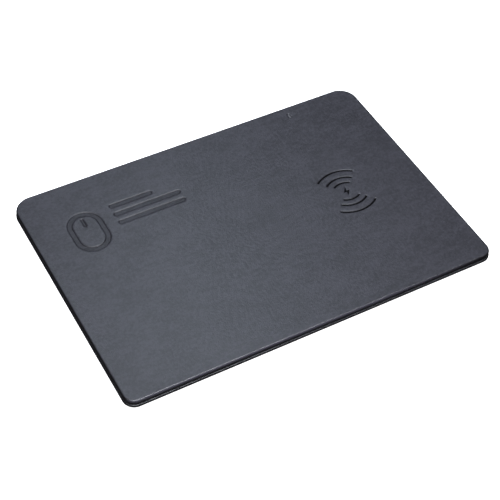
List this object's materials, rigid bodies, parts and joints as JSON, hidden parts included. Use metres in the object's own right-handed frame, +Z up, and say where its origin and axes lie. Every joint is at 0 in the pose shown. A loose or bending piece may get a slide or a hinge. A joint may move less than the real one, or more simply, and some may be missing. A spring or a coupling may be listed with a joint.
{
  "type": "wireless charging desk mat",
  "caption": "Flat leatherette mouse mat with a built-in wireless charger, debossed charging symbol and an inlet in the rear edge.",
  "frame": {"origin": "centre of the underside, on the surface that the mat lies on", "axes": "+X along the mat's length towards the charging side, +Y towards the rear edge with the inlet, +Z up"},
  "size_m": [0.3, 0.21, 0.0072],
  "materials": {
    "top_leather": "matte fine-grained polyurethane leather",
    "bottom_leather": "matte polyurethane leather",
    "foam": "open foam",
    "board": "dense grey board",
    "liner_card": "plain card",
    "adhesive": "cured film",
    "grip_rubber": "matte non-slip",
    "case_plastic": "fine texture",
    "screw_steel": "plated",
    "ferrite": "sintered",
    "glue_ring": "adhesive film",
    "copper": "enamelled copper strand",
    "amber_tape": "polyimide tape",
    "black_epoxy": "moulded epoxy",
    "tinned_wire": "tinned",
    "board_laminate": "solder mask",
    "thermal_rubber": "soft pad",
    "capacitor_ceramic": "fired ceramic",
    "led_package": "clear lens",
    "clear_pipe": "smoked acrylic",
    "shell_steel": "stamped",
    "gold_plate": "gold plated"
  },
  "bodies": {
    "root": {"top_cover": "top_leather", "top_foam": "foam", "upper_board": "board", "upper_liner": "liner_card", "seam_adhesive": "adhesive", "lower_liner": "liner_card", "lower_board": "board", "bottom_cover": "bottom_leather", "grip_sheet": "grip_rubber", "charger_tray": "case_plastic", "charger_lid": "case_plastic", "lid_screws": "screw_steel", "ferrite_plate": "ferrite", "coil_adhesive": "glue_ring", "coil_winding": "copper", "coil_lead_inner": "copper", "coil_lead_outer": "copper", "coil_tape": "amber_tape", "thermistor": "black_epoxy", "thermistor_leads": "tinned_wire", "circuit_board": "board_laminate", "heat_pad": "thermal_rubber", "controller_chip": "black_epoxy", "crystal": "screw_steel", "bridge_transistors": "black_epoxy", "resonant_capacitors": "capacitor_ceramic", "input_capacitors": "capacitor_ceramic", "filter_inductor": "ferrite", "sense_resistor": "black_epoxy", "chip_resistors": "black_epoxy", "chip_capacitors": "capacitor_ceramic", "status_led": "led_package", "solder_joints": "tinned_wire", "light_pipe": "clear_pipe", "usb_shell": "shell_steel", "usb_tongue": "black_epoxy", "usb_contacts": "gold_plate", "port_bezel": "case_plastic"}
  },
  "joints": []
}
